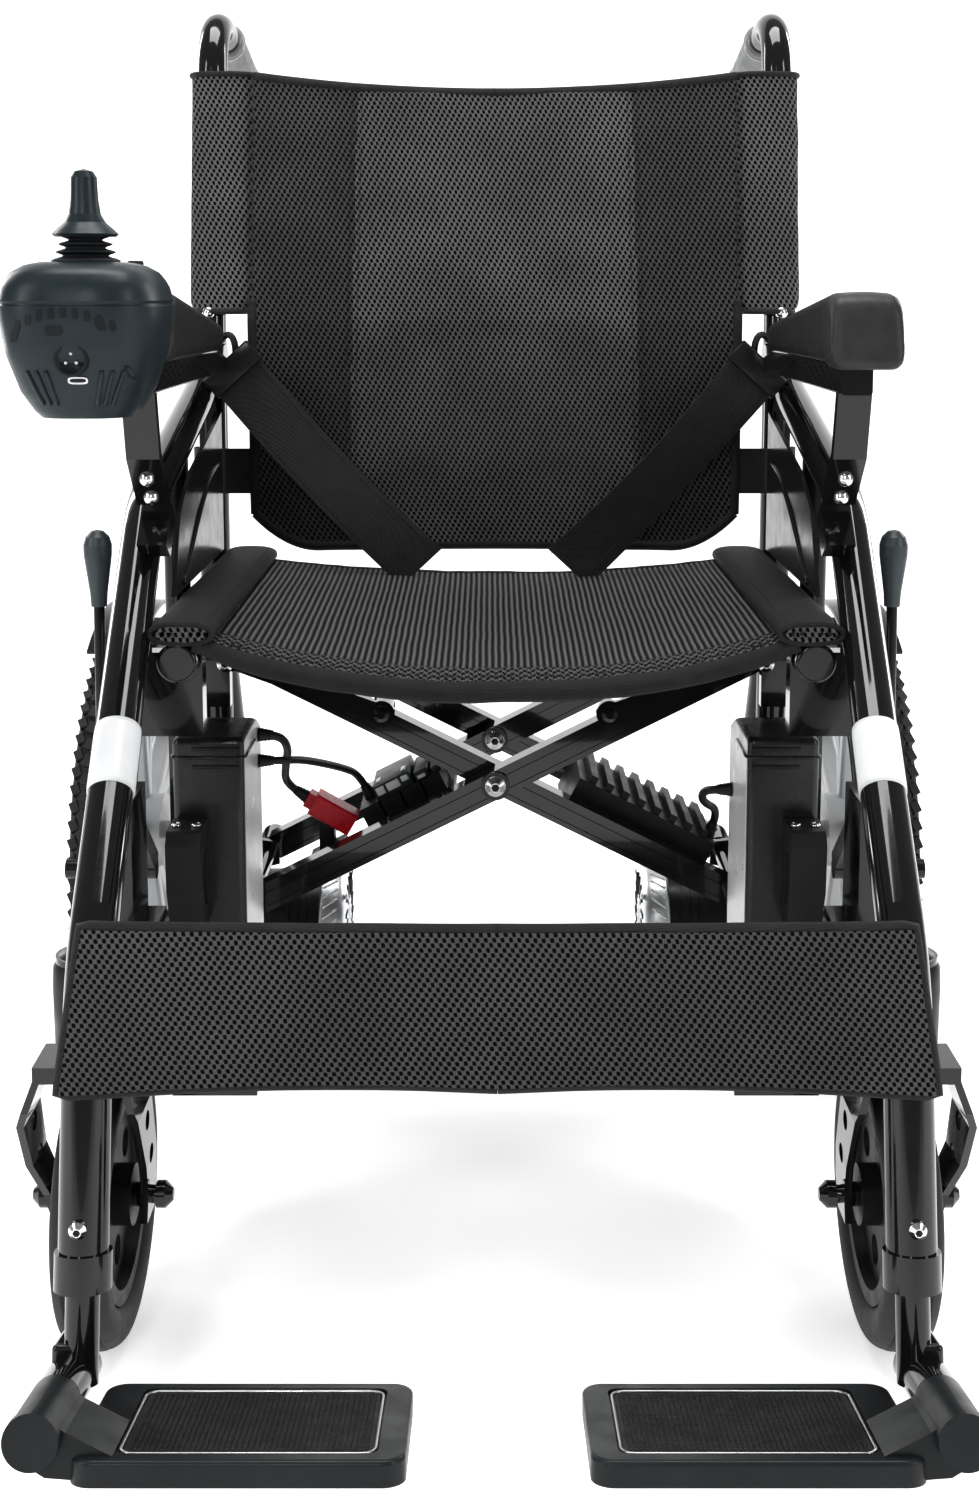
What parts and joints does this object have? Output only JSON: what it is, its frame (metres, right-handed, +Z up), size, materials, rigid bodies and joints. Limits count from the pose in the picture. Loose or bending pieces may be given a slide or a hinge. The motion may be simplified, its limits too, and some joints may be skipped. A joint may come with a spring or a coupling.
{
  "type": "power wheelchair",
  "caption": "Folding power wheelchair with mesh sling seat and back, joystick on one armrest, two hub-side motors, casters and flip-up footplates.",
  "frame": {"origin": "on the floor under the centre of the whole chair", "axes": "+X to the occupant's left, +Y to the rear, +Z up"},
  "size_m": [0.71, 0.9978, 0.9384],
  "materials": {
    "frame_paint": "gloss black powder coat",
    "chrome": "polished",
    "grip_rubber": "moulded grip",
    "battery_plastic": "fine grain",
    "motor_metal": "satin",
    "guard_plastic": "gloss",
    "tyre": "knobbly tread",
    "rim": "light grey moulding",
    "caster_hub": "moulded",
    "footplate": "fine grain with ribbed inset",
    "fabric": "spacer mesh",
    "webbing": "smooth webbing",
    "joystick_plastic": "slate",
    "red_plastic": "glossy red",
    "lead": "sleeved lead"
  },
  "bodies": {
    "left_frame": {"left_side_frame": "frame_paint", "left_frame_bolts": "chrome", "left_push_grip": "grip_rubber", "left_battery_case": "battery_plastic", "left_battery_handle": "battery_plastic", "left_drive_motor": "motor_metal", "left_side_guard": "guard_plastic", "left_back_sling": "fabric", "left_calf_strap": "fabric", "lap_belt": "webbing"},
    "left_wheel": {"left_rear_tyre": "tyre", "left_rear_rim": "rim"},
    "left_caster_swivel": {"left_caster_fork": "frame_paint"},
    "left_caster_wheel": {"left_caster_tyre": "tyre", "left_caster_hub": "caster_hub"},
    "left_brake": {"left_brake_lever": "frame_paint"},
    "left_footrest": {"left_footrest_tube": "frame_paint"},
    "left_footplate_flap": {"left_footplate": "footplate"},
    "left_armrest": {"left_armrest_frame": "frame_paint", "left_armrest_pad": "grip_rubber", "joystick_housing": "joystick_plastic", "joystick_boot": "grip_rubber"},
    "left_link": {"left_fold_link": "frame_paint"},
    "right_frame": {"right_side_frame": "frame_paint", "right_frame_bolts": "chrome", "right_push_grip": "grip_rubber", "right_battery_case": "battery_plastic", "right_battery_handle": "battery_plastic", "right_drive_motor": "motor_metal", "right_side_guard": "guard_plastic", "right_back_sling": "fabric", "right_calf_strap": "fabric"},
    "right_wheel": {"right_rear_tyre": "tyre", "right_rear_rim": "rim"},
    "right_caster_swivel": {"right_caster_fork": "frame_paint"},
    "right_caster_wheel": {"right_caster_tyre": "tyre", "right_caster_hub": "caster_hub"},
    "right_brake": {"right_brake_lever": "frame_paint"},
    "right_footrest": {"right_footrest_tube": "frame_paint"},
    "right_footplate_flap": {"right_footplate": "footplate"},
    "right_armrest": {"right_armrest_frame": "frame_paint", "right_armrest_pad": "grip_rubber"},
    "right_link": {"right_fold_link": "frame_paint"},
    "brace_a": {"cross_brace_a": "frame_paint", "brace_centre_bolts": "chrome", "right_seat_rail": "frame_paint", "right_seat_sling": "fabric", "lead_connectors": "battery_plastic", "power_connector": "red_plastic", "battery_leads": "lead"},
    "brace_b": {"cross_brace_b": "frame_paint", "left_seat_rail": "frame_paint", "left_seat_sling": "fabric", "motor_controller": "battery_plastic"},
    "joystick_cross": {"joystick_gimbal": "joystick_plastic"},
    "joystick_stick": {"joystick_knob": "joystick_plastic"},
    "power_button_cap": {"power_button": "joystick_plastic"},
    "speed_down_button_cap": {"speed_down_button": "joystick_plastic"},
    "speed_up_button_cap": {"speed_up_button": "joystick_plastic"},
    "horn_button_cap": {"horn_button": "joystick_plastic"}
  },
  "joints": [
    {"name": "fold", "type": "hinge", "parent": "left_frame", "child": "brace_a", "pos_m": [-0.19, 0.08891, 0.23043], "axis": [0, -1, 0], "range_deg": [0, 42], "deforming": ["left_back_sling", "right_back_sling", "left_calf_strap", "right_calf_strap", "left_seat_sling", "right_seat_sling", "lap_belt", "battery_leads"]},
    {"name": "fold_scissor", "type": "hinge", "parent": "brace_a", "child": "brace_b", "pos_m": [0, 0.08891, 0.326], "axis": [0, 1, 0], "range_deg": [0, 84]},
    {"name": "fold_right_side", "type": "hinge", "parent": "brace_b", "child": "right_frame", "pos_m": [0.19, 0.08891, 0.23043], "axis": [0, -1, 0], "range_deg": [0, 42]},
    {"name": "left_link_turn", "type": "hinge", "parent": "left_frame", "child": "left_link", "pos_m": [-0.2, -0.00609, 0.426], "axis": [0, -1, 0], "range_deg": [0, 79.2]},
    {"name": "right_link_turn", "type": "hinge", "parent": "right_frame", "child": "right_link", "pos_m": [0.2, -0.00609, 0.426], "axis": [0, 1, 0], "range_deg": [0, 79.2]},
    {"name": "left_wheel_spin", "type": "hinge", "parent": "left_frame", "child": "left_wheel", "pos_m": [-0.329, 0.29891, 0.2], "axis": [1, 0, 0], "continuous": true},
    {"name": "left_caster_turn", "type": "hinge", "parent": "left_frame", "child": "left_caster_swivel", "pos_m": [-0.262, -0.23009, 0.211], "axis": [0, 0, 1], "continuous": true},
    {"name": "left_caster_roll", "type": "hinge", "parent": "left_caster_swivel", "child": "left_caster_wheel", "pos_m": [-0.262, -0.19009, 0.097], "axis": [1, 0, 0], "continuous": true},
    {"name": "left_brake_pull", "type": "hinge", "parent": "left_frame", "child": "left_brake", "pos_m": [-0.279, -0.02408, 0.318], "axis": [1, 0, 0], "range_deg": [0, 10]},
    {"name": "left_footrest_length", "type": "slide", "parent": "left_frame", "child": "left_footrest", "axis": [0, 0.2079, 0.9781], "range_m": [-0.008, 0.008]},
    {"name": "left_footplate_flip", "type": "hinge", "parent": "left_footrest", "child": "left_footplate_flap", "pos_m": [-0.236, -0.40409, 0.104], "axis": [0, 0.9744, -0.225], "range_deg": [-60, 0]},
    {"name": "left_armrest_lift", "type": "hinge", "parent": "left_frame", "child": "left_armrest", "pos_m": [-0.232, 0.16392, 0.645], "axis": [-1, 0, 0], "range_deg": [0, 78]},
    {"name": "right_wheel_spin", "type": "hinge", "parent": "right_frame", "child": "right_wheel", "pos_m": [0.329, 0.29891, 0.2], "axis": [1, 0, 0], "continuous": true},
    {"name": "right_caster_turn", "type": "hinge", "parent": "right_frame", "child": "right_caster_swivel", "pos_m": [0.262, -0.23009, 0.211], "axis": [0, 0, 1], "continuous": true},
    {"name": "right_caster_roll", "type": "hinge", "parent": "right_caster_swivel", "child": "right_caster_wheel", "pos_m": [0.262, -0.19009, 0.097], "axis": [1, 0, 0], "continuous": true},
    {"name": "right_brake_pull", "type": "hinge", "parent": "right_frame", "child": "right_brake", "pos_m": [0.279, -0.02408, 0.318], "axis": [1, 0, 0], "range_deg": [0, 10]},
    {"name": "right_footrest_length", "type": "slide", "parent": "right_frame", "child": "right_footrest", "axis": [0, 0.2079, 0.9781], "range_m": [-0.008, 0.008]},
    {"name": "right_footplate_flip", "type": "hinge", "parent": "right_footrest", "child": "right_footplate_flap", "pos_m": [0.236, -0.40409, 0.104], "axis": [0, 0.9744, -0.225], "range_deg": [0, 60]},
    {"name": "right_armrest_lift", "type": "hinge", "parent": "right_frame", "child": "right_armrest", "pos_m": [0.232, 0.16392, 0.645], "axis": [-1, 0, 0], "range_deg": [0, 78]},
    {"name": "joystick_fore_aft", "type": "hinge", "parent": "left_armrest", "child": "joystick_cross", "pos_m": [-0.25, -0.22609, 0.7], "axis": [1, 0, 0], "range_deg": [-18, 18], "stiffness_Nm_per_rad": 0.5, "deforming": ["joystick_boot"]},
    {"name": "joystick_sideways", "type": "hinge", "parent": "joystick_cross", "child": "joystick_stick", "pos_m": [-0.25, -0.22609, 0.7], "axis": [0, 1, 0], "range_deg": [-18, 18], "stiffness_Nm_per_rad": 0.5, "deforming": ["joystick_boot"]},
    {"name": "power_button_press", "type": "slide", "parent": "left_armrest", "child": "power_button_cap", "axis": [0, 0, -1], "range_m": [0, 0.0015], "stiffness_N_per_m": 800},
    {"name": "speed_down_button_press", "type": "slide", "parent": "left_armrest", "child": "speed_down_button_cap", "axis": [0, 0, -1], "range_m": [0, 0.0015], "stiffness_N_per_m": 800},
    {"name": "speed_up_button_press", "type": "slide", "parent": "left_armrest", "child": "speed_up_button_cap", "axis": [0, 0, -1], "range_m": [0, 0.0015], "stiffness_N_per_m": 800},
    {"name": "horn_button_press", "type": "slide", "parent": "left_armrest", "child": "horn_button_cap", "axis": [0, 0, -1], "range_m": [0, 0.0015], "stiffness_N_per_m": 800}
  ],
  "couplings": [
    {"joint": "fold_scissor", "follows": "fold", "ratio": 2},
    {"joint": "fold_right_side", "follows": "fold", "ratio": 1},
    {"joint": "left_link_turn", "follows": "fold", "ratio": 1.885},
    {"joint": "right_link_turn", "follows": "fold", "ratio": 1.885},
    {"joint": "left_footplate_flip", "follows": "fold", "ratio": -1.4284},
    {"joint": "right_footplate_flip", "follows": "fold", "ratio": 1.4284}
  ]
}
